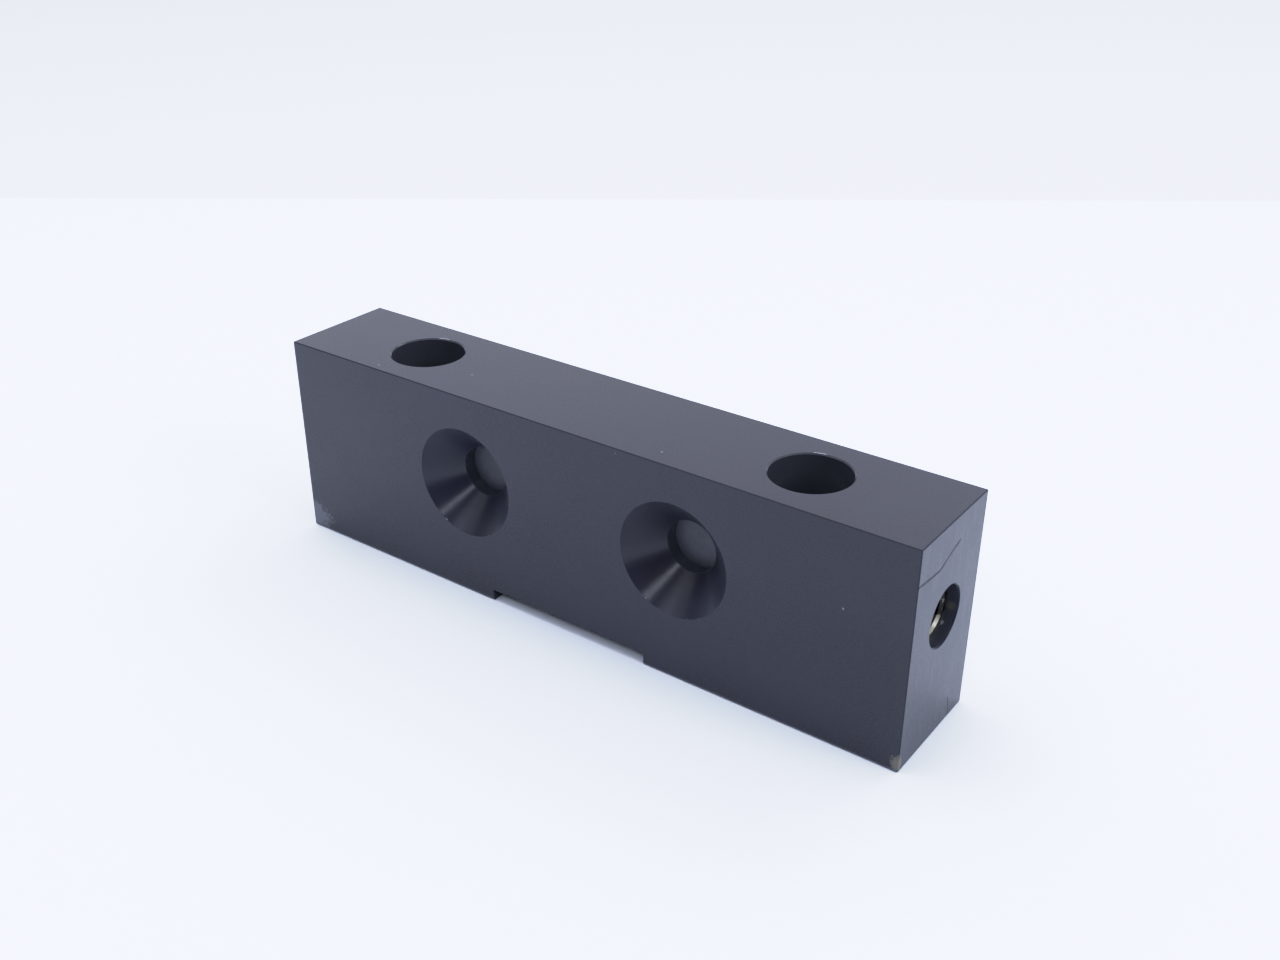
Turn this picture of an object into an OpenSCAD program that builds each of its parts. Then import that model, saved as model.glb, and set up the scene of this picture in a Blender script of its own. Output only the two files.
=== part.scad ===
// Twin check valve in one hydraulic block.
// Two separate circuits, left and right, mirror each other about x = 0.
// In each one, oil enters the coned inlet port in the front face and lifts a sprung poppet off its seat.
// It then runs along a drilling inside the block to a plug-in outlet bore in the top face.
// The drillings enter through the block's ends, and an expander plug closes each of them.
//
// Origin: middle of the underside. +X along the block, +Y from the front face to the back, +Z up.

/* [Block] */
// Length of the block, along X
block_length = 115; // [110:1:140]
// Depth of the block, from front face to back face, along Y
block_depth = 20; // [20:0.5:24]
// Height of the block, along Z
block_height = 35; // [34:0.5:45]
// Small bevel on every outer edge of the block
edge_break = 0.15; // [0.1:0.05:0.5]
// Width of the relief slot under the block
relief_width = 30; // [10:1:50]
// Height of the relief slot under the block
relief_height = 2; // [0.5:0.25:4]

/* [Inlet ports, front face] */
// Distance between the two inlet ports
inlet_spacing = 40; // [38:0.5:41]
// Height of the inlet ports and of the drillings above the underside
port_height = 20; // [19:0.5:20]
// Diameter of the coned mouth at the front face
inlet_mouth_d = 18.5; // [16:0.1:19.5]
// Diameter of the short bore behind the cone, which is also the valve seat
inlet_bore_d = 8.6; // [7:0.1:8.8]
// Depth of the seat below the front face
seat_depth = 7.2; // [7:0.1:7.5]

/* [Outlet bores, top face] */
// Distance between the two outlet bores
outlet_spacing = 72; // [71:0.5:73]
// Diameter of the outlet bores
outlet_bore_d = 12; // [10:0.1:12.4]
// Depth of the outlet bores
outlet_depth = 21; // [20:0.5:22]
// Bevel at the mouth of the outlet bores
outlet_bevel = 0.2; // [0.1:0.05:0.6]

/* [Poppets] */
// How far each poppet lifts
poppet_stroke = 1.6; // [0.8:0.1:1.7]
// Diameter of the poppet head
poppet_head_d = 11.4; // [11.2:0.1:11.4]
// Thickness of the poppet head
poppet_head_t = 1.6; // [1.4:0.1:1.7]
// Diameter of the poppet stem
poppet_stem_d = 4; // [3:0.1:4.2]
// Wire diameter of the poppet springs
spring_wire_d = 0.6; // [0.4:0.05:0.6]
// Number of turns of the poppet springs that flex
spring_active_turns = 3.5; // [3:0.5:3.5]

/* [Drillings and end plugs] */
// Diameter of the drillings along the block
gallery_d = 5; // [3:0.1:5]
// Diameter of the expander plugs in the ends
end_plug_d = 9; // [8:0.1:9.6]
// How far the expander plugs sit below the end faces
end_plug_recess = 1.8; // [1:0.1:2.5]
// Length of the expander plug sleeves
end_plug_length = 8.5; // [8:0.1:9]

/* [Mounting holes, underside] */
// Distance between the two tapped mounting holes
mount_spacing = 96; // [94:0.5:98]
// Tapping diameter of the mounting holes, 5 mm for an M6 thread
mount_hole_d = 5; // [4.2:0.1:5]
// Depth of the mounting holes
mount_hole_depth = 11; // [8:0.5:12]

/* [Hidden] */

$fn = 96;
left = -1;
right = 1;
// Cutters run past the faces that they cut by this much
past = 1;

half_length = block_length / 2;
front_y = -block_depth / 2;
back_y = block_depth / 2;
inlet_x = inlet_spacing / 2;
outlet_x = outlet_spacing / 2;

// Inlet: a 90 degree cone, then a short bore down to the seat
cone_depth = (inlet_mouth_d - inlet_bore_d) / 2;
seat_y = front_y + seat_depth;

// Chamber behind the seat, and the wider tapped hole for its plug
chamber_d = 12;
plug_thread_d = 14;
plug_thread_bevel = 0.5;
plug_thread_y = back_y - 4.8;

// Poppet: its stem ends just short of the floor of the guide bore when it is fully open
seat_gap = 0.05;
head_front_y = seat_y + seat_gap;
head_back_y = head_front_y + poppet_head_t;
stop_gap = 0.1;
guide_floor_y = back_y - 4.1;
stem_tip_y = guide_floor_y - stop_gap - poppet_stroke;
stem_bevel = 0.4;
guide_clearance = 0.05;

// Soft ring in the face of the poppet
poppet_seal_wire_d = 0.9;
poppet_seal_mean_d = 10;
poppet_seal_gap = 0.03;
poppet_groove_w = 1;

// Plug that closes the chamber: a threaded head, and a nose with a cup for the spring
plug_back_y = back_y - 0.3;
plug_nose_y = back_y - 8.2;
plug_nose_d = chamber_d - 0.1;
plug_nose_bevel = 0.3;
plug_cup_d = 8;
plug_cup_floor_y = back_y - 5.4;
plug_boss_d = 5.5;
plug_hex_af = 6;
plug_hex_depth = 2.4;
plug_groove_y = back_y - 7.2;
plug_groove_w = 1.5;
plug_groove_d = 9.9;
plug_seal_wire_d = 1;

// Poppet spring: one closed turn at each end and the flexing turns between them
spring_mean_d = 6.8;
spring_end_gap = 0.02;
spring_closed_pitch = spring_wire_d + 0.02;
spring_steps = 16;
spring_sides = 6;
spring_turns = spring_active_turns + 2;
spring_start_y = head_back_y + spring_end_gap + spring_wire_d / 2;
spring_end_y = plug_cup_floor_y - spring_end_gap - spring_wire_d / 2;
spring_active_pitch = (spring_end_y - spring_start_y - 2 * spring_closed_pitch) / spring_active_turns;

// Groove inside each outlet bore, for a soft ring with a harder ring above it
outlet_groove_d = 14.8;
outlet_groove_z = block_height - 10.4;
outlet_groove_h = 2.8;
outlet_seal_wire_d = 1.36;
outlet_seal_mean_d = 13.42;
backup_ring_inner_d = outlet_bore_d + 0.06;
backup_ring_outer_d = 14.76;
backup_ring_h = 1.2;

// Expander plugs: a ridged cup with a ball pressed into it
end_bevel = 0.2;
end_bore_depth = end_plug_recess + end_plug_length;
cup_d = 6.5;
cup_floor = 1;
ball_d = 6.5;
ball_below_rim = 0.9;
cup_lip_bevel = 0.4;
ridge_count = 5;
ridge_pitch = 1.2;
ridge_groove_w = 0.5;
ridge_groove_depth = 0.15;
ridge_start = 1.6;

mount_x = mount_spacing / 2;
mount_bevel = 0.6;

// Points the Z axis of its children along +Y, at one circuit's inlet axis
module along_inlet(side) {
    translate([side * inlet_x, 0, port_height])
        rotate([-90, 0, 0])
            children();
}

// Points the Z axis of its children out of one end of the block, with zero at the end face
module out_of_end(side) {
    translate([side * half_length, 0, port_height])
        rotate([0, side * 90, 0])
            children();
}

// Stands its children on one circuit's outlet axis
module at_outlet(side) {
    translate([side * outlet_x, 0, 0])
        children();
}

// Round bar of diameter d from low to high on the Z axis
module bar(d, low, high) {
    translate([0, 0, low])
        cylinder(d = d, h = high - low);
}

// Round taper from diameter d_low at low to d_high at high on the Z axis
module taper(d_low, d_high, low, high) {
    translate([0, 0, low])
        cylinder(d1 = d_low, d2 = d_high, h = high - low);
}

// Flat ring between two diameters, from low to high on the Z axis
module washer(inner_d, outer_d, low, high) {
    difference() {
        bar(outer_d, low, high);
        bar(inner_d, low - past, high + past);
    }
}

// Ring of round section around the Z axis, with its middle at z
module round_ring(mean_d, wire_d, z) {
    translate([0, 0, z])
        rotate_extrude()
            translate([mean_d / 2, 0])
                circle(d = wire_d, $fn = 32);
}

// Rectangle of a by b about the origin, with its corners cut at 45 degrees
module cut_rectangle(a, b, cut) {
    x = a / 2;
    y = b / 2;
    polygon([
        [x - cut, -y], [x, cut - y], [x, y - cut], [x - cut, y],
        [cut - x, y], [-x, y - cut], [-x, cut - y], [cut - x, -y]
    ]);
}

// The block before it is drilled: three bevelled bars that share their overlap
module bevelled_block() {
    intersection() {
        linear_extrude(height = block_height)
            cut_rectangle(block_length, block_depth, edge_break);
        translate([0, back_y, block_height / 2])
            rotate([90, 0, 0])
                linear_extrude(height = block_depth)
                    cut_rectangle(block_length, block_height, edge_break);
        translate([-half_length, 0, block_height / 2])
            rotate([90, 0, 90])
                linear_extrude(height = block_length)
                    cut_rectangle(block_depth, block_height, edge_break);
    }
}

// Inlet cone, seat bore, poppet chamber and plug thread, all on one axis
module inlet_cut(side) {
    along_inlet(side) {
        taper(inlet_mouth_d + 2 * past, inlet_bore_d, front_y - past, front_y + cone_depth);
        bar(inlet_bore_d, front_y + cone_depth - past / 2, seat_y + past / 2);
        bar(chamber_d, seat_y, back_y);
        bar(plug_thread_d, plug_thread_y, back_y + past);
        taper(plug_thread_d, plug_thread_d + 2 * (plug_thread_bevel + past),
            back_y - plug_thread_bevel, back_y + past);
    }
}

// Outlet bore with its bevelled mouth and its seal groove
module outlet_cut(side) {
    at_outlet(side) {
        bar(outlet_bore_d, block_height - outlet_depth, block_height + past);
        taper(outlet_bore_d, outlet_bore_d + 2 * (outlet_bevel + past),
            block_height - outlet_bevel, block_height + past);
        bar(outlet_groove_d, outlet_groove_z, outlet_groove_z + outlet_groove_h);
    }
}

// Drilling from the block's end to the poppet chamber, widened for the expander plug
module gallery_cut(side) {
    out_of_end(side) {
        bar(gallery_d, inlet_x - half_length, past);
        bar(end_plug_d, -end_bore_depth, past);
        taper(end_plug_d, end_plug_d + 2 * (end_bevel + past), -end_bevel, past);
    }
}

// Tapped mounting hole with a bevelled mouth
module mount_cut(side) {
    translate([side * mount_x, 0, 0]) {
        bar(mount_hole_d, -past, mount_hole_depth);
        taper(mount_hole_d + 2 * (mount_bevel + past), mount_hole_d, -past, mount_bevel);
    }
}

module valve_body() {
    color([0.13, 0.14, 0.18])
        difference() {
            bevelled_block();
            translate([-relief_width / 2, front_y - past, -past])
                cube([relief_width, block_depth + 2 * past, relief_height + past]);
            for (side = [left, right]) {
                inlet_cut(side);
                outlet_cut(side);
                gallery_cut(side);
                mount_cut(side);
            }
        }
}

// Mushroom poppet: a flat head with a ring groove in its face, and a guide stem
module poppet(side) {
    groove_mid_r = poppet_seal_mean_d / 2;
    color([0.17, 0.17, 0.19])
        along_inlet(side)
            difference() {
                union() {
                    bar(poppet_head_d, head_front_y, head_back_y);
                    bar(poppet_stem_d, head_front_y + poppet_head_t / 2, stem_tip_y - stem_bevel);
                    taper(poppet_stem_d, poppet_stem_d - 2 * stem_bevel, stem_tip_y - stem_bevel, stem_tip_y);
                }
                washer(2 * groove_mid_r - poppet_groove_w, 2 * groove_mid_r + poppet_groove_w,
                    head_front_y - past, head_front_y + poppet_seal_wire_d);
            }
}

// Soft ring that stands just proud of the poppet's face
module poppet_seal(side) {
    color([0.05, 0.05, 0.05])
        along_inlet(side)
            round_ring(poppet_seal_mean_d, poppet_seal_wire_d,
                seat_y + poppet_seal_gap + poppet_seal_wire_d / 2);
}

// Distance of the spring's wire along its axis after a number of turns
function spring_rise(turns) =
    turns < 1 ? turns * spring_closed_pitch :
    turns > spring_turns - 1 ?
        spring_closed_pitch + spring_active_turns * spring_active_pitch
            + (turns - spring_turns + 1) * spring_closed_pitch :
    spring_closed_pitch + (turns - 1) * spring_active_pitch;

// Corner number k of the wire's section after a number of turns
function spring_corner(turns, k) =
    let (
        around = 360 * turns,
        section = 360 * k / spring_sides,
        reach = spring_mean_d / 2 + spring_wire_d / 2 * cos(section)
    )
    [reach * cos(around), reach * sin(around), spring_rise(turns) + spring_wire_d / 2 * sin(section)];

// Coil spring between the poppet head and the cup of the plug
module poppet_spring(side) {
    rings = spring_turns * spring_steps;
    corners = [
        for (i = [0 : rings])
            for (k = [0 : spring_sides - 1])
                spring_corner(i / spring_steps, k)
    ];
    walls = [
        for (i = [0 : rings - 1])
            for (k = [0 : spring_sides - 1])
                let (next = (k + 1) % spring_sides)
                [
                    i * spring_sides + k,
                    (i + 1) * spring_sides + k,
                    (i + 1) * spring_sides + next,
                    i * spring_sides + next
                ]
    ];
    first_end = [for (k = [0 : spring_sides - 1]) k];
    last_end = [for (k = [spring_sides - 1 : -1 : 0]) rings * spring_sides + k];
    color([0.7, 0.71, 0.72])
        along_inlet(side)
            translate([0, 0, spring_start_y])
                polyhedron(points = corners, faces = concat([first_end, last_end], walls));
}

// Screw plug that closes the chamber, holds the spring and guides the poppet's stem
module spring_plug(side) {
    hex_across_corners = plug_hex_af / cos(30);
    color([0.62, 0.62, 0.6])
        along_inlet(side)
            difference() {
                union() {
                    taper(plug_nose_d - 2 * plug_nose_bevel, plug_nose_d,
                        plug_nose_y, plug_nose_y + plug_nose_bevel);
                    bar(plug_nose_d, plug_nose_y + plug_nose_bevel, plug_thread_y);
                    bar(plug_thread_d, plug_thread_y, plug_back_y - plug_thread_bevel);
                    taper(plug_thread_d, plug_thread_d - 2 * plug_thread_bevel,
                        plug_back_y - plug_thread_bevel, plug_back_y);
                }
                washer(plug_boss_d, plug_cup_d, plug_nose_y - past, plug_cup_floor_y);
                bar(poppet_stem_d + 2 * guide_clearance, plug_nose_y - past, guide_floor_y);
                washer(plug_groove_d, plug_thread_d + past,
                    plug_groove_y, plug_groove_y + plug_groove_w);
                translate([0, 0, plug_back_y - plug_hex_depth])
                    cylinder(d = hex_across_corners, h = plug_hex_depth + past, $fn = 6);
            }
}

// Soft ring in the groove of the plug's nose
module spring_plug_seal(side) {
    color([0.05, 0.05, 0.05])
        along_inlet(side)
            round_ring(plug_groove_d + plug_seal_wire_d + 0.05, plug_seal_wire_d,
                plug_groove_y + plug_groove_w / 2);
}

// Soft ring in the lower part of the outlet bore's groove
module outlet_seal(side) {
    color([0.05, 0.05, 0.05])
        at_outlet(side)
            round_ring(outlet_seal_mean_d, outlet_seal_wire_d,
                outlet_groove_z + outlet_seal_wire_d / 2 + 0.05);
}

// Harder ring above the soft one, which keeps it from being squeezed out
module outlet_backup_ring(side) {
    top = outlet_groove_z + outlet_groove_h - 0.05;
    color([0.85, 0.84, 0.8])
        at_outlet(side)
            washer(backup_ring_inner_d, backup_ring_outer_d, top - backup_ring_h, top);
}

// Cup of the expander plug, with ridges that bite into the bore
module end_plug_sleeve(side) {
    color([0.68, 0.66, 0.58])
        out_of_end(side)
            difference() {
                bar(end_plug_d, -end_bore_depth, -end_plug_recess);
                bar(cup_d, cup_floor - end_bore_depth, past);
                taper(cup_d, cup_d + 2 * (cup_lip_bevel + past),
                    -end_plug_recess - cup_lip_bevel, past - end_plug_recess);
                for (i = [0 : ridge_count - 1])
                    translate([0, 0, -end_plug_recess - ridge_start - i * ridge_pitch])
                        washer(end_plug_d - 2 * ridge_groove_depth, end_plug_d + past,
                            -ridge_groove_w, 0);
            }
}

// Ball pressed into the cup, which spreads it against the bore
module end_plug_ball(side) {
    color([0.78, 0.78, 0.78])
        out_of_end(side)
            translate([0, 0, -end_plug_recess - ball_below_rim - ball_d / 2])
                sphere(d = ball_d);
}

valve_body();
poppet(left);  // poppet_left
poppet(right);  // poppet_right
poppet_seal(left);  // poppet_seal_left
poppet_seal(right);  // poppet_seal_right
poppet_spring(left);  // poppet_spring_left
poppet_spring(right);  // poppet_spring_right
spring_plug(left);  // spring_plug_left
spring_plug(right);  // spring_plug_right
spring_plug_seal(left);  // spring_plug_seal_left
spring_plug_seal(right);  // spring_plug_seal_right
outlet_seal(left);  // outlet_seal_left
outlet_seal(right);  // outlet_seal_right
outlet_backup_ring(left);  // outlet_backup_ring_left
outlet_backup_ring(right);  // outlet_backup_ring_right
end_plug_sleeve(left);  // end_plug_sleeve_left
end_plug_sleeve(right);  // end_plug_sleeve_right
end_plug_ball(left);  // end_plug_ball_left
end_plug_ball(right);  // end_plug_ball_right
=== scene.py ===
"""Twin check valve block: looks, round-wire springs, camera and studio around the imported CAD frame.

Everything is in metres in the row's frame: origin in the middle of the underside, +X along the block,
+Y from the front face to the back face, +Z up.
"""

import math

import bmesh
import bpy
from mathutils import Matrix, Vector


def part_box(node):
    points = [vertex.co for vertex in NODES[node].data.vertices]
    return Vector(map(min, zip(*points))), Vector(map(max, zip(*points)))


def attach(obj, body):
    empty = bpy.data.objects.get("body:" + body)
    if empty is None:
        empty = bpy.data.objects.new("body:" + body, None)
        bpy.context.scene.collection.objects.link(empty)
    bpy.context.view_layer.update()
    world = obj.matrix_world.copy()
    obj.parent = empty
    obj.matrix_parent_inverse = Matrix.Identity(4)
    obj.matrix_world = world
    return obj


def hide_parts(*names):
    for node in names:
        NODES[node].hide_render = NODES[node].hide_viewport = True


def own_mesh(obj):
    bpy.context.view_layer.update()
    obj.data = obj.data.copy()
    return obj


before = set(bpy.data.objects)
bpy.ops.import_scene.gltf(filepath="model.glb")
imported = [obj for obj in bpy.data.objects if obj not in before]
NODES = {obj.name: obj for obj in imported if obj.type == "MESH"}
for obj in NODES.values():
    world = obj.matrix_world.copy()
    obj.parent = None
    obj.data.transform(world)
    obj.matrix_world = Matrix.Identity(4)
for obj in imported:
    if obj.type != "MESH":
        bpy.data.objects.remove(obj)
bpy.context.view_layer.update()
MM = 0.001

# ---------------------------------------------------------------- places, from the frame
BODY_LOW, BODY_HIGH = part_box("valve_body")
FRONT_Y, BACK_Y = BODY_LOW.y, BODY_HIGH.y
TOP_Z = BODY_HIGH.z
END_X = BODY_HIGH.x


def middle(node):
    low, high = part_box(node)
    return (low + high) / 2


INLET = middle("poppet_right")
OUTLET = middle("outlet_seal_right")
PORT_X, PORT_Z = INLET.x, INLET.z
OUTLET_X = OUTLET.x

# Marks from handling: points on the right end's scratch and nick, and the two worn front corners
END_SCRATCH = ((END_X, -0.0098, 0.0295), (END_X, -0.0067, 0.0292), (END_X, -0.0037, 0.0290),
               (END_X, -0.0028, 0.0293), (END_X, -0.0004, 0.0302), (END_X, 0.0020, 0.0309))
END_TICK = ((END_X, 0.0049, 0.0036), (END_X, 0.0056, 0.0005))
FRONT_LEFT_CORNER = (-END_X, FRONT_Y, 0.0022)
FRONT_RIGHT_CORNER = (END_X, FRONT_Y, 0.0014)

# Painted reflections on the right end bore's wall, a dull warm one and a bright highlight: place, reach along
# each axis, colour
END_BORE_PAINTED_REFLECTIONS = (
    ((END_X - 1.0 * MM, 4.5 * MM, PORT_Z - 1.0 * MM),
     (0.9 * MM, 0.9 * MM, 0.8 * MM), (0.085, 0.080, 0.068)),
    ((END_X - 1.5 * MM, 3.1 * MM, PORT_Z - 3.2 * MM),
     (0.25 * MM, 0.35 * MM, 0.45 * MM), (0.26, 0.26, 0.27)),
)

# A painted glint on each outlet's rim: how far left of and behind the bore's axis, and the rim's outer radius
GLINT_LEFT, GLINT_BACK, RIM_RADIUS = 1.9 * MM, 5.85 * MM, 6.3 * MM


# ---------------------------------------------------------------- node-building helpers
def connect(tree, source, target):
    """Links a socket to target, or sets target to a plain value."""
    if isinstance(source, bpy.types.NodeSocket):
        tree.links.new(source, target)
    else:
        target.default_value = source


def map_range(tree, value, low, high, out_low=0.0, out_high=1.0, smooth=True):
    """Takes value from low..high to out_low..out_high, with eased ends if smooth; low may be over high."""
    node = tree.nodes.new("ShaderNodeMapRange")
    node.interpolation_type = "SMOOTHSTEP" if smooth else "LINEAR"
    for socket, number in zip(node.inputs[:5], (value, low, high, out_low, out_high)):
        connect(tree, number, socket)
    return node.outputs[0]


class Nodes:
    """A small builder for one material's node tree."""

    def __init__(self, name):
        self.material = bpy.data.materials.new(name)
        self.material.use_nodes = True
        self.tree = self.material.node_tree
        self.tree.nodes.clear()
        self.output = self.tree.nodes.new("ShaderNodeOutputMaterial")
        self.shader = self.tree.nodes.new("ShaderNodeBsdfPrincipled")
        self.tree.links.new(self.shader.outputs["BSDF"], self.output.inputs["Surface"])
        self.place = self.tree.nodes.new("ShaderNodeNewGeometry").outputs["Position"]

    def link(self, source, target):
        connect(self.tree, source, target)

    def set(self, **values):
        """Sets or links the shader's inputs, such as base_color or roughness."""
        for key, value in values.items():
            wanted = key.replace("_", " ").lower()
            socket = next(s for s in self.shader.inputs if s.name.lower() == wanted)
            if socket.type == "RGBA" and not isinstance(value, bpy.types.NodeSocket):
                value = (*value, 1)
            self.link(value, socket)

    def math(self, operation, a, b=0.0, clamp=False):
        node = self.tree.nodes.new("ShaderNodeMath")
        node.operation = operation
        node.use_clamp = clamp
        self.link(a, node.inputs[0])
        self.link(b, node.inputs[1])
        return node.outputs[0]

    def vector(self, operation, a, b=(0, 0, 0)):
        node = self.tree.nodes.new("ShaderNodeVectorMath")
        node.operation = operation
        self.link(a, node.inputs[0])
        self.link(b, node.inputs[1])
        return node.outputs["Value" if operation in ("LENGTH", "DOT_PRODUCT", "DISTANCE") else "Vector"]

    def split(self, vector):
        node = self.tree.nodes.new("ShaderNodeSeparateXYZ")
        self.link(vector, node.inputs[0])
        return node.outputs

    def join(self, x, y, z):
        node = self.tree.nodes.new("ShaderNodeCombineXYZ")
        for value, socket in zip((x, y, z), node.inputs):
            self.link(value, socket)
        return node.outputs[0]

    def scaled(self, factors, vector=None):
        return self.vector("MULTIPLY", self.place if vector is None else vector, factors)

    def noise(self, size, detail=2.0, rough=0.5, stretch=(1, 1, 1), distortion=0.0):
        """Noise whose features are about size metres, drawn out along an axis whose stretch is over 1."""
        node = self.tree.nodes.new("ShaderNodeTexNoise")
        self.link(self.scaled(tuple(1 / (size * s) for s in stretch)), node.inputs["Vector"])
        node.inputs["Scale"].default_value = 1
        node.inputs["Detail"].default_value = detail
        node.inputs["Roughness"].default_value = rough
        node.inputs["Distortion"].default_value = distortion
        return node.outputs["Fac"]

    def ramp(self, value, low, high, out_low=0.0, out_high=1.0, smooth=True):
        return map_range(self.tree, value, low, high, out_low, out_high, smooth)

    def mix(self, factor, a, b):
        """Blends two colours."""
        node = self.tree.nodes.new("ShaderNodeMix")
        node.data_type = "RGBA"
        for socket, value in ((node.inputs[0], factor), (node.inputs[6], a), (node.inputs[7], b)):
            if socket is not node.inputs[0] and not isinstance(value, bpy.types.NodeSocket):
                value = (*value, 1)
            self.link(value, socket)
        return node.outputs[2]

    def bump(self, height, depth):
        """Turns a height from 0 to 1 into a normal, for relief that is depth metres deep."""
        node = self.tree.nodes.new("ShaderNodeBump")
        node.inputs["Strength"].default_value = 1
        node.inputs["Distance"].default_value = depth
        self.link(height, node.inputs["Height"])
        return node.outputs[0]

    def radius(self, centre, axis):
        """Distance from the line through centre along axis 0, 1 or 2."""
        flat = [1, 1, 1]
        flat[axis] = 0
        offset = self.vector("SUBTRACT", self.place, tuple(centre))
        return self.vector("LENGTH", self.scaled(flat, offset))

    def from_inlet(self):
        """Steps out and up from the nearer of the two inlet axes, which mirror each other about x = 0."""
        x, _, z = self.split(self.place)
        return self.math("SUBTRACT", self.math("ABSOLUTE", x), PORT_X), self.math("SUBTRACT", z, PORT_Z)

    def inlet_radius(self):
        """Distance from the nearer inlet axis."""
        across, rise = self.from_inlet()
        return self.vector("LENGTH", self.join(across, 0.0, rise))

    def across_turning(self):
        """Direction across an inlet's turning marks: in towards its axis and into the block."""
        across, rise = self.from_inlet()
        side = self.math("SIGN", self.split(self.place)[0])
        flat = self.vector("NORMALIZE", self.join(self.math("MULTIPLY", across, side), 0.0, rise))
        return self.vector("SUBTRACT", (0, 1, 0), flat)

    def rings(self, distance, pitch):
        """Uneven rings about pitch metres apart, from 0 to 1: noise that depends on distance alone."""
        node = self.tree.nodes.new("ShaderNodeTexNoise")
        node.noise_dimensions = "1D"
        self.link(self.math("DIVIDE", distance, pitch), node.inputs["W"])
        node.inputs["Scale"].default_value = 1
        node.inputs["Detail"].default_value = 2
        return node.outputs["Fac"]

    def ripples(self, distance, pitch):
        """Waves from 0 to 1, one every pitch metres of distance."""
        turns = self.math("MULTIPLY", distance, 2 * math.pi / pitch)
        return self.ramp(self.math("SINE", turns), -1, 1, smooth=False)


def scratch(nodes, start, end, width):
    """A mask along the straight line from start to end, 1 on the line and 0 beyond its width."""
    start, end = Vector(start), Vector(end)
    along = end - start
    offset = nodes.vector("SUBTRACT", nodes.place, tuple(start))
    reached = nodes.vector("DOT_PRODUCT", offset, tuple(along))
    share = nodes.math("DIVIDE", reached, along.length_squared, clamp=True)
    scale = nodes.tree.nodes.new("ShaderNodeVectorMath")
    scale.operation = "SCALE"
    scale.inputs[0].default_value = tuple(along)
    nodes.link(share, scale.inputs["Scale"])
    gap = nodes.vector("DISTANCE", offset, scale.outputs[0])
    return nodes.ramp(gap, width, width * 0.3)


# ---------------------------------------------------------------- materials
ANODISED_DARK = (0.003, 0.003, 0.012)
ANODISED_LIGHT = (0.008, 0.009, 0.026)


def fine_grain(nodes):
    """Satin etch of anodised aluminium."""
    return nodes.noise(0.16 * MM, detail=3, rough=0.65)


def cloudiness(nodes):
    """Slow unevenness of the anodising's colour."""
    return nodes.noise(14 * MM, detail=3, rough=0.5)


def anodised_flat(name, ior):
    """Outer faces of the block: etched, faintly milled, smeared on the ends, with marks from handling, a
    painted highlight along the lowest and leftmost edges and a painted glint on each outlet's rim.
    """
    nodes = Nodes(name)
    grain, cloud = fine_grain(nodes), cloudiness(nodes)
    mill = nodes.noise(0.35 * MM, detail=2, stretch=(60, 60, 1))
    smear = nodes.noise(1.6 * MM, detail=3, stretch=(1, 1, 5), distortion=0.6)
    from_middle = nodes.math("ABSOLUTE", nodes.split(nodes.place)[0])
    on_end = nodes.ramp(from_middle, END_X - 0.1 * MM, END_X - 0.02 * MM)
    blend = nodes.math("ADD", nodes.math("MULTIPLY", grain, 0.6), nodes.math("MULTIPLY", cloud, 0.4))
    colour = nodes.mix(nodes.ramp(blend, 0.35, 0.65), ANODISED_DARK, ANODISED_LIGHT)
    smeared = nodes.math("MULTIPLY", on_end, nodes.ramp(smear, 0.45, 0.75))
    colour = nodes.mix(nodes.math("MULTIPLY", smeared, 0.5), colour, (0.030, 0.032, 0.045))
    height = nodes.math("ADD", nodes.math("MULTIPLY", grain, 0.75), nodes.math("MULTIPLY", mill, 0.25))
    rough = nodes.ramp(blend, 0.3, 0.7, 0.24, 0.34)
    polish = nodes.ramp(smear, 0.3, 0.7, -0.04, 0.03)
    rough = nodes.math("ADD", rough, nodes.math("MULTIPLY", on_end, polish))

    dark = scratch_line(nodes, END_SCRATCH, 0.32 * MM)
    dark = nodes.math("MAXIMUM", dark, scratch_line(nodes, END_TICK, 0.20 * MM))
    colour = nodes.mix(nodes.math("MULTIPLY", dark, 0.9), colour, (0.004, 0.004, 0.006))
    rough = nodes.math("ADD", rough, nodes.math("MULTIPLY", dark, 0.35))

    bare = corner_wear(nodes, FRONT_LEFT_CORNER, (7.5 * MM, 3.0 * MM, 4.5 * MM), 0.7 * MM)
    colour = nodes.mix(nodes.math("MULTIPLY", bare, 0.7), colour, (0.15, 0.16, 0.19))
    brassy = corner_wear(nodes, FRONT_RIGHT_CORNER, (2.0 * MM, 1.6 * MM, 2.4 * MM), 0.3 * MM)
    colour = nodes.mix(nodes.math("MULTIPLY", brassy, 0.7), colour, (0.20, 0.19, 0.14))
    specks = pale_specks(nodes)
    colour = nodes.mix(nodes.math("MULTIPLY", specks, 0.7), colour, (0.22, 0.23, 0.26))
    # Painted highlight: a lighter strip along the lowest and leftmost edges.
    edge_highlight = painted_edge_highlights(nodes)
    colour = nodes.mix(nodes.math("MULTIPLY", edge_highlight, 0.9), colour, (0.10, 0.105, 0.125))
    # Painted highlight: a bright glint on the rear left of each outlet's rim.
    rim_glint = painted_rim_glint(nodes)
    colour = nodes.mix(rim_glint, colour, (0.75, 0.77, 0.82))
    worn = nodes.math("MAXIMUM", nodes.math("MAXIMUM", bare, brassy), specks)
    rough = nodes.math("ADD", rough, nodes.math("MULTIPLY", worn, 0.2))

    height = nodes.math("SUBTRACT", height, nodes.math("MULTIPLY", nodes.math("MAXIMUM", dark, worn), 1.5))
    nodes.set(base_color=colour, metallic=0.0, ior=ior, specular_tint=(1.0, 0.99, 0.98), roughness=rough)
    nodes.set(normal=nodes.bump(height, 0.014 * MM))
    return nodes.material


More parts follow.
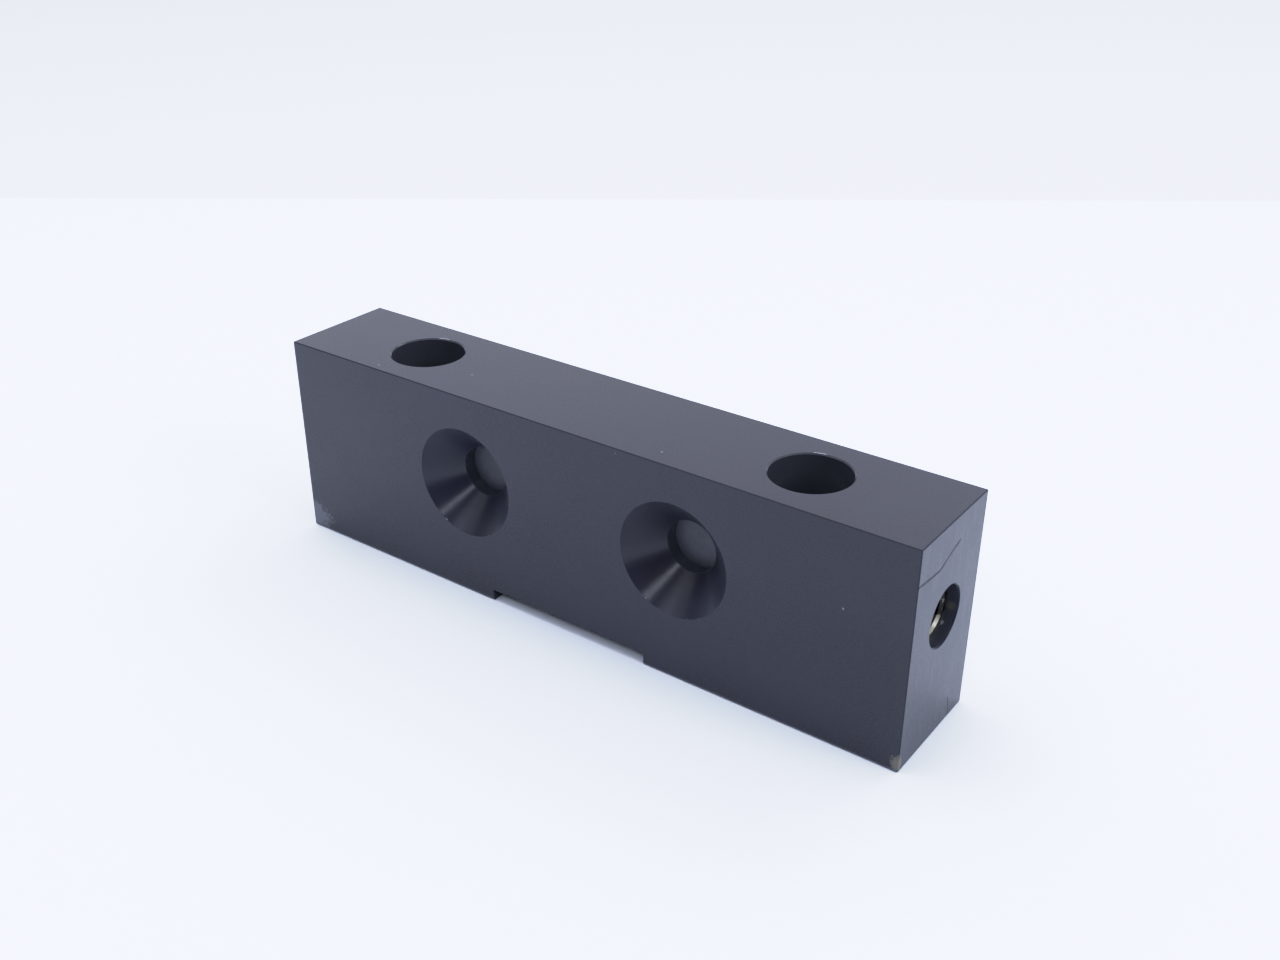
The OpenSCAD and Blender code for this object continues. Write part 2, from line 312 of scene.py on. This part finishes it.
def scratch_line(nodes, points, width):
    """A mask along a broken line of points, rougher at its edges than a ruled one."""
    mask = scratch(nodes, points[0], points[1], width)
    for start, end in zip(points[1:], points[2:]):
        mask = nodes.math("MAXIMUM", mask, scratch(nodes, start, end, width))
    patchy = nodes.ramp(nodes.noise(0.5 * MM, detail=3), 0.30, 0.55, 0.25, 1.0)
    return nodes.math("MULTIPLY", mask, patchy)


def corner_wear(nodes, corner, reach, size):
    """A mask of worn patches that thin out within reach of a corner."""
    offset = nodes.vector("SUBTRACT", nodes.place, tuple(corner))
    far = nodes.vector("LENGTH", nodes.scaled(tuple(1 / r for r in reach), offset))
    fading = nodes.ramp(far, 1.1, 0.15, 0.0, 1.0)
    patch = nodes.noise(size, detail=4, rough=0.6)
    return nodes.ramp(nodes.math("ADD", nodes.math("MULTIPLY", fading, 0.62), patch), 0.74, 1.04)


def painted_edge_highlights(nodes):
    """A mask on the lowest and leftmost strips of the front and back, with their bevels, for a painted
    highlight along those edges.
    """
    x, y, z = nodes.split(nodes.place)
    low = nodes.ramp(z, 0.42 * MM, 0.28 * MM)
    left = nodes.ramp(x, 0.42 * MM - END_X, 0.28 * MM - END_X)
    on_bevel = nodes.ramp(nodes.math("ABSOLUTE", y), BACK_Y - 0.18 * MM, BACK_Y - 0.10 * MM)
    return nodes.math("MULTIPLY", nodes.math("MAXIMUM", low, left), on_bevel)


def painted_rim_glint(nodes):
    """A mask for a short painted glint, a painted highlight on the rear left of each outlet's rim."""
    x, y, z = nodes.split(nodes.place)
    side = nodes.math("SIGN", x)
    across = nodes.math("SUBTRACT", x, nodes.math("MULTIPLY", side, OUTLET_X))
    offset = nodes.join(nodes.math("ADD", across, GLINT_LEFT), nodes.math("SUBTRACT", y, GLINT_BACK), 0.0)
    near = nodes.ramp(nodes.vector("LENGTH", offset), 1.1 * MM, 0.7 * MM)
    reach = nodes.vector("LENGTH", nodes.join(across, y, 0.0))
    in_rim = nodes.ramp(reach, RIM_RADIUS, RIM_RADIUS - 0.08 * MM)
    at_top = nodes.ramp(z, TOP_Z - 0.4 * MM, TOP_Z - 0.3 * MM)
    return nodes.math("MULTIPLY", near, nodes.math("MULTIPLY", in_rim, at_top))


def pale_specks(nodes):
    """A few tiny chipped spots and dust specks, far apart."""
    cells = nodes.tree.nodes.new("ShaderNodeTexVoronoi")
    cells.feature = "F1"
    nodes.link(nodes.scaled((1 / (5.5 * MM),) * 3), cells.inputs["Vector"])
    cells.inputs["Scale"].default_value = 1
    near = nodes.ramp(cells.outputs["Distance"], 0.042, 0.022)
    chosen = nodes.ramp(nodes.split(cells.outputs["Color"])[0], 0.60, 0.62)
    return nodes.math("MULTIPLY", near, chosen)


def anodised_turned():
    """Cones and seat bores of the inlet ports, with the marks of the turning tool around each axis."""
    nodes = Nodes("anodised_turned")
    cloud = cloudiness(nodes)
    rings = nodes.rings(nodes.inlet_radius(), 0.16 * MM)
    colour = nodes.mix(nodes.ramp(cloud, 0.3, 0.7), ANODISED_DARK, ANODISED_LIGHT)
    _, y, z = nodes.split(nodes.place)
    # The throat, deeper than 4.85 mm, is painted lighter: painted light lifting the shade down in that recess.
    throat = nodes.ramp(y, FRONT_Y + 4.85 * MM, FRONT_Y + 5.0 * MM)
    colour = nodes.mix(throat, colour, (0.036, 0.040, 0.054))
    # Painted glints: bright patches along the lower part of each inlet's lip, a painted highlight.
    lip = nodes.math("MULTIPLY", nodes.ramp(y, FRONT_Y + 0.12 * MM, FRONT_Y + 0.04 * MM),
                     nodes.ramp(z, PORT_Z - 5.0 * MM, PORT_Z - 6.5 * MM))
    lip_glints = nodes.math("MULTIPLY", lip, nodes.ramp(nodes.noise(0.9 * MM, detail=3), 0.60, 0.68))
    nodes.set(base_color=nodes.mix(nodes.math("MULTIPLY", lip_glints, 0.6), colour, (0.36, 0.37, 0.41)))
    nodes.set(metallic=0.0, ior=1.50, anisotropic=0.9, tangent=nodes.across_turning())
    nodes.set(roughness=nodes.ramp(rings, 0.35, 0.65, 0.29, 0.37))
    nodes.set(normal=nodes.bump(rings, 0.0018 * MM))
    return nodes.material


def anodised_bore(name, axis, painted_reflections=()):
    """Smooth drilled wall of a bore that runs along axis 0 or 2, with any painted reflections on it."""
    nodes = Nodes(name)
    grain, cloud = fine_grain(nodes), cloudiness(nodes)
    along = nodes.split(nodes.place)[axis]
    rings = nodes.ripples(along, 0.23 * MM)
    colour = nodes.mix(cloud, (0.028, 0.030, 0.040), (0.042, 0.045, 0.058))
    # Painted reflections: ragged patches of lighter colour that stand in for light reflected onto the wall.
    for place, size, shade in painted_reflections:
        offset = nodes.vector("SUBTRACT", nodes.place, place)
        spot = nodes.vector("LENGTH", nodes.scaled(tuple(1 / s for s in size), offset))
        ragged = nodes.math("ADD", spot, nodes.math("MULTIPLY", nodes.noise(0.3 * MM, detail=4), 1.6))
        colour = nodes.mix(nodes.ramp(ragged, 1.9, 1.0), colour, shade)
    nodes.set(base_color=colour, metallic=0.0, ior=1.42)
    nodes.set(roughness=nodes.ramp(grain, 0.3, 0.7, 0.16, 0.24))
    nodes.set(normal=nodes.bump(rings, 0.003 * MM))
    return nodes.material


def zinc_plating():
    """Dull blue-white plating of the spring plugs, turned on the face, darker the deeper it lies in the hex
    socket.
    """
    nodes = Nodes("zinc_plating")
    cloud = nodes.noise(1.8 * MM, detail=3)
    spots = nodes.ramp(nodes.noise(0.45 * MM, detail=4, rough=0.65), 0.58, 0.72)
    rings = nodes.rings(nodes.inlet_radius(), 0.22 * MM)
    face_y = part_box("spring_plug_right")[1].y
    deep = nodes.ramp(nodes.split(nodes.place)[1], face_y - 0.15 * MM, face_y - 2.3 * MM)
    colour = nodes.mix(nodes.ramp(cloud, 0.3, 0.7), (0.25, 0.26, 0.285), (0.35, 0.36, 0.38))
    colour = nodes.mix(nodes.math("MULTIPLY", spots, 0.45), colour, (0.16, 0.16, 0.17))
    colour = nodes.mix(nodes.math("MULTIPLY", deep, 0.75), colour, (0.055, 0.050, 0.045))
    rough = nodes.math("ADD", nodes.ramp(rings, 0.3, 0.7, 0.20, 0.32), nodes.math("MULTIPLY", spots, 0.15))
    nodes.set(base_color=colour, metallic=1.0, roughness=rough)
    nodes.set(anisotropic=0.5, tangent=nodes.across_turning())
    nodes.set(normal=nodes.bump(rings, 0.006 * MM))
    return nodes.material


def metal_shaded_above(name, dark, light, roughness, pitch, depth):
    """Turned metal of the end plugs, darkened above a wandering line by mottled painted shade, left as lit
    metal along the bottom.
    """
    nodes = Nodes(name)
    cloud = nodes.noise(0.9 * MM, detail=3)
    rings = nodes.rings(nodes.radius(INLET, 0), pitch)
    above = nodes.math("SUBTRACT", nodes.split(nodes.place)[2], PORT_Z)
    wander = nodes.math("SUBTRACT", nodes.noise(0.9 * MM, detail=4, rough=0.65), 0.5)
    edge = nodes.math("ADD", above, nodes.math("MULTIPLY", wander, 2.6 * MM))
    # Painted shade: the upper part of the plug is darkened, as if shaded from the light that falls in from
    # above.
    painted_shade = nodes.ramp(edge, -2.3 * MM, -1.9 * MM)
    metal = nodes.mix(nodes.ramp(cloud, 0.3, 0.7), dark, light)
    shade_mottle = nodes.ramp(nodes.noise(0.55 * MM, detail=3, rough=0.6), 0.56, 0.68)
    shade_colour = nodes.mix(shade_mottle, (0.014, 0.013, 0.013), (0.16, 0.155, 0.14))
    nodes.set(base_color=nodes.mix(nodes.math("MULTIPLY", painted_shade, 0.95), metal, shade_colour))
    nodes.set(metallic=1.0, roughness=nodes.ramp(rings, 0.3, 0.7, roughness - 0.06, roughness + 0.06))
    nodes.set(normal=nodes.bump(rings, depth))
    return nodes.material


def black_oxide():
    """Turned steel with a matt black oxide skin."""
    nodes = Nodes("black_oxide")
    cloud = nodes.noise(1.5 * MM, detail=3)
    rings = nodes.rings(nodes.inlet_radius(), 0.22 * MM)
    shade = nodes.math("ADD", nodes.math("MULTIPLY", cloud, 0.4), nodes.math("MULTIPLY", rings, 0.6))
    colour = nodes.mix(nodes.ramp(shade, 0.35, 0.65), (0.047, 0.050, 0.064), (0.067, 0.070, 0.088))
    nodes.set(base_color=colour)
    nodes.set(metallic=0.0, ior=1.5, anisotropic=0.5, tangent=nodes.across_turning())
    nodes.set(roughness=nodes.ramp(rings, 0.3, 0.7, 0.36, 0.5))
    nodes.set(normal=nodes.bump(rings, 0.006 * MM))
    return nodes.material


def rubber():
    nodes = Nodes("nitrile_rubber")
    bloom = nodes.noise(0.5 * MM, detail=4, rough=0.6)
    nodes.set(base_color=nodes.mix(bloom, (0.012, 0.012, 0.013), (0.028, 0.028, 0.03)), ior=1.5)
    nodes.set(roughness=nodes.ramp(bloom, 0.3, 0.7, 0.38, 0.55))
    nodes.set(normal=nodes.bump(bloom, 0.004 * MM))
    return nodes.material


def ptfe():
    nodes = Nodes("ptfe")
    cloud = nodes.noise(0.8 * MM, detail=3)
    nodes.set(base_color=nodes.mix(cloud, (0.62, 0.61, 0.57), (0.74, 0.73, 0.69)), ior=1.38)
    nodes.set(roughness=nodes.ramp(cloud, 0.3, 0.7, 0.42, 0.55), subsurface_weight=0.05)
    nodes.set(normal=nodes.bump(nodes.ripples(nodes.split(nodes.place)[2], 0.1 * MM), 0.002 * MM))
    return nodes.material


def spring_wire():
    nodes = Nodes("spring_wire")
    streak = nodes.noise(0.12 * MM, detail=3, stretch=(6, 1, 6))
    nodes.set(base_color=nodes.mix(streak, (0.42, 0.42, 0.43), (0.58, 0.58, 0.59)), metallic=1.0)
    nodes.set(roughness=nodes.ramp(streak, 0.3, 0.7, 0.24, 0.36))
    nodes.set(normal=nodes.bump(streak, 0.003 * MM))
    return nodes.material


def paint(node, *materials):
    """Gives a CAD node its materials, in slot order."""
    slots = NODES[node].data.materials
    slots.clear()
    for material in materials:
        slots.append(material)


def paint_body():
    """Block faces by what cut them: flats, bevels, turned inlets, drilled bores and the end bores' rims."""
    flat, turned, outlet, gallery, edge, rim = range(6)
    materials = [
        anodised_flat("anodised_flat", 1.54),
        anodised_turned(),
        anodised_bore("anodised_outlet", 2),
        anodised_bore("anodised_gallery", 0, END_BORE_PAINTED_REFLECTIONS),
        anodised_flat("anodised_edge", 1.42),
        # The rim copy differs only by a very low ior, which dulls the end bores' bevels as painted shade.
        anodised_flat("anodised_rim", 1.22),
    ]
    paint("valve_body", *materials)
    mesh = NODES["valve_body"].data
    inlet_reach, outlet_reach, end_reach = 9.3 * MM, 7.5 * MM, 4.9 * MM
    outlet_floor = 12 * MM
    skin = 0.02 * MM
    for face in mesh.polygons:
        c = face.center
        from_inlet = math.hypot(abs(c.x) - PORT_X, c.z - PORT_Z)
        from_outlet = math.hypot(abs(c.x) - OUTLET_X, c.y)
        from_gallery = math.hypot(c.y, c.z - PORT_Z)
        inside = c.y > FRONT_Y + skin and c.z < TOP_Z - skin and abs(c.x) < END_X - skin
        if from_inlet < inlet_reach and FRONT_Y + skin < c.y < BACK_Y - skin:
            face.material_index = turned
        elif from_outlet < outlet_reach and outlet_floor < c.z < TOP_Z - skin:
            face.material_index = outlet
        elif from_gallery < end_reach and inside:
            on_bevel = abs(c.x) > END_X - 0.25 * MM and abs(face.normal.x) > 0.3
            face.material_index = rim if on_bevel else gallery
        elif max(abs(n) for n in face.normal) < 0.9:
            face.material_index = edge
        else:
            face.material_index = flat


def paint_small_parts():
    oxide = black_oxide()
    zinc = zinc_plating()
    warm = metal_shaded_above("warm_zinc", (0.19, 0.18, 0.145), (0.32, 0.305, 0.25), 0.36, 0.16 * MM, 0.006 * MM)
    ball = metal_shaded_above("ball_steel", (0.50, 0.50, 0.48), (0.66, 0.66, 0.64), 0.16, 0.6 * MM, 0.0005 * MM)
    black, white = rubber(), ptfe()
    for side in ("left", "right"):
        paint(f"poppet_{side}", oxide)
        paint(f"poppet_seal_{side}", black)
        paint(f"spring_plug_{side}", zinc)
        paint(f"spring_plug_seal_{side}", black)
        paint(f"outlet_seal_{side}", black)
        paint(f"outlet_backup_ring_{side}", white)
        paint(f"end_plug_sleeve_{side}", warm)
        paint(f"end_plug_ball_{side}", ball)


# ---------------------------------------------------------------- springs
WIRE = 0.6 * MM
TURNS, CLOSED_TURNS = 5.5, 1.0
CLOSED_PITCH = WIRE * 1.03
STEPS_PER_TURN, WIRE_SIDES = 40, 12


def coil_height(turn, rise):
    """Height of the wire's centre after so many turns: nearly touching at both ends, open between them."""
    if turn < CLOSED_TURNS:
        return turn * CLOSED_PITCH
    if turn > TURNS - CLOSED_TURNS:
        return rise - (TURNS - turn) * CLOSED_PITCH
    open_pitch = (rise - 2 * CLOSED_TURNS * CLOSED_PITCH) / (TURNS - 2 * CLOSED_TURNS)
    return CLOSED_TURNS * CLOSED_PITCH + (turn - CLOSED_TURNS) * open_pitch


def coil_mesh(low, high):
    """Wire wound along +Y inside the box from low to high."""
    axis_x, axis_z = (low.x + high.x) / 2, (low.z + high.z) / 2
    mean_radius = (high.x - low.x - WIRE) / 2
    rise = high.y - low.y - WIRE
    mesh = bmesh.new()
    rings = []
    for i in range(int(TURNS * STEPS_PER_TURN) + 1):
        turn = i / STEPS_PER_TURN
        around = 2 * math.pi * turn
        out = Vector((math.cos(around), 0, math.sin(around)))
        centre = Vector((axis_x, low.y + WIRE / 2 + coil_height(turn, rise), axis_z)) + out * mean_radius
        ring = []
        for k in range(WIRE_SIDES):
            section = 2 * math.pi * k / WIRE_SIDES
            offset = (out * math.cos(section) + Vector((0, 1, 0)) * math.sin(section)) * (WIRE / 2)
            ring.append(mesh.verts.new(centre + offset))
        rings.append(ring)
    for a, b in zip(rings, rings[1:]):
        for k in range(WIRE_SIDES):
            n = (k + 1) % WIRE_SIDES
            mesh.faces.new((a[k], a[n], b[n], b[k]))
    mesh.faces.new(rings[0])
    mesh.faces.new(list(reversed(rings[-1])))
    bmesh.ops.recalc_face_normals(mesh, faces=mesh.faces)
    return mesh


def coil_spring(side, material):
    """Round-wire spring with closed ends, in the place of the CAD helix."""
    low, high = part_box(f"poppet_spring_{side}")
    mesh = coil_mesh(low, high)
    data = bpy.data.meshes.new(f"coil_spring_{side}")
    mesh.to_mesh(data)
    mesh.free()
    for face in data.polygons:
        face.use_smooth = len(face.vertices) == 4
    data.materials.append(material)
    piece = bpy.data.objects.new(f"coil_spring_{side}", data)
    bpy.context.scene.collection.objects.link(piece)
    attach(piece, "root")
    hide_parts(f"poppet_spring_{side}")
    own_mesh(piece)


# ---------------------------------------------------------------- studio
FLOOR_REACH, FLOOR_Z = 3.0, -0.02 * MM
# The sheet ends this far from the origin along SHEET_AWAY, and the table shows beyond it
SHEET_EDGE, SHEET_AWAY = 0.2285, (-0.589, 0.808, 0.0)

ROOM_FAR, ROOM_NEAR, ROOM_EYE = 1.18, 0.56, 0.08
ROOM_COLOUR = (0.91, 0.96, 1.12)

# Name, place, point it is aimed at, width and height, power
LIGHTS = (
    ("key", (0.12, 0.72, 0.85), (0, 0, 0), (0.60, 0.40), 2.3),
    ("side", (0.90, 0.05, 0.60), (0, 0, 0), (0.45, 0.45), 2.3),
    ("lamp", (0.21, -0.56, 0.58), (0, 0, 0.02), (0.17, 0.17), 0.95),
    ("window", (-0.39, -0.46, 0.67), (0, 0, 0.02), (0.60, 0.60), 0.9),
    ("overhead", (-0.26, -0.03, 1.05), (0, 0, 0), (0.50, 0.50), 3.5),
)

# Tone curve: scene light against the level shown, between black and BRIGHTEST
BRIGHTEST, BRIGHTEST_SHOWN = 1.8, 0.99
TONES = ((0.2, 0.2), (0.35, 0.36), (0.55, 0.60), (0.75, 0.77), (1.0, 0.855), (1.4, 0.94))


def floor():
    """White sheet on a pale table, level with it."""
    data = bpy.data.meshes.new("paper")
    corners = [(FLOOR_REACH * x, FLOOR_REACH * y, FLOOR_Z) for x, y in ((-1, -1), (1, -1), (1, 1), (-1, 1))]
    data.from_pydata(corners, [], [(0, 1, 2, 3)])
    piece = bpy.data.objects.new("paper", data)
    bpy.context.scene.collection.objects.link(piece)
    nodes = Nodes("paper")
    fibre = nodes.noise(2.5 * MM, detail=4)
    sheet = nodes.mix(fibre, (0.815, 0.855, 0.925), (0.835, 0.875, 0.945))
    away = nodes.vector("DOT_PRODUCT", nodes.place, SHEET_AWAY)
    table = nodes.ramp(away, SHEET_EDGE, SHEET_EDGE + 1.5 * MM)
    nodes.set(base_color=nodes.mix(table, sheet, (0.73, 0.75, 0.80)), roughness=0.9)
    data.materials.append(nodes.material)


def area_light(name, place, target, size, power):
    data = bpy.data.lights.new(name, "AREA")
    data.shape = "RECTANGLE"
    data.size, data.size_y = size
    data.energy = power
    data.color = ROOM_COLOUR
    piece = bpy.data.objects.new(name, data)
    bpy.context.scene.collection.objects.link(piece)
    piece.location = place
    piece.rotation_euler = (Vector(target) - Vector(place)).to_track_quat("-Z", "Y").to_euler()


def room_light(world):
    """Soft room: bright behind and above the block, dimmer in front of it, darkest there at eye level."""
    tree = world.node_tree
    background = tree.nodes["Background"]
    direction = tree.nodes.new("ShaderNodeTexCoord").outputs["Generated"]
    towards = tree.nodes.new("ShaderNodeVectorMath")
    towards.operation = "DOT_PRODUCT"
    tree.links.new(direction, towards.inputs[0])
    towards.inputs[1].default_value = (0.0, -1.0, 0.0)
    split = tree.nodes.new("ShaderNodeSeparateXYZ")
    tree.links.new(direction, split.inputs[0])
    near = map_range(tree, split.outputs[2], 0.2, 0.85, ROOM_EYE, ROOM_NEAR)
    strength = map_range(tree, towards.outputs["Value"], -0.1, 0.6, ROOM_FAR, near)
    tree.links.new(strength, background.inputs["Strength"])
    background.inputs["Color"].default_value = (*ROOM_COLOUR, 1)


def studio():
    world = bpy.data.worlds.new("room")
    world.use_nodes = True
    room_light(world)
    scene = bpy.context.scene
    scene.world = world
    for light in LIGHTS:
        area_light(*light)
    scene.view_settings.view_transform = "Standard"
    scene.view_settings.look = "None"
    soften_highlights(scene.view_settings)


def soften_highlights(view):
    """Rolls bright tones off gently, as a camera does, and leaves tones under about 0.4 alone."""
    view.use_curve_mapping = True
    mapping = view.curve_mapping
    mapping.white_level = (BRIGHTEST,) * 3
    curve = mapping.curves[3]
    for light, shown in TONES:
        curve.points.new(light / BRIGHTEST, shown)
    curve.points[0].location = (0, 0)
    curve.points[len(curve.points) - 1].location = (1, BRIGHTEST_SHOWN)
    mapping.update()


CAMERA_PLACE = (0.11451, -0.14748, 0.12132)
CAMERA_LOOK = (-0.52056, 0.71441, -0.46758)
CAMERA_UP = (-0.27730, 0.37648, 0.88395)
SENSOR_WIDTH, FOCAL_LENGTH = 36, 38.40


def camera():
    """Main viewpoint: above, in front and to the right of the block."""
    data = bpy.data.cameras.new("camera")
    data.sensor_width = SENSOR_WIDTH
    data.lens = FOCAL_LENGTH
    data.clip_start = 0.01
    piece = bpy.data.objects.new("camera", data)
    bpy.context.scene.collection.objects.link(piece)
    look = Vector(CAMERA_LOOK).normalized()
    right = look.cross(Vector(CAMERA_UP)).normalized()
    up = right.cross(look)
    turn = Matrix((right, up, -look)).transposed().to_4x4()
    piece.matrix_world = Matrix.Translation(CAMERA_PLACE) @ turn
    bpy.context.scene.camera = piece


camera()
paint_body()
paint_small_parts()
wire_metal = spring_wire()
for side in ("left", "right"):
    coil_spring(side, wire_metal)
floor()
studio()
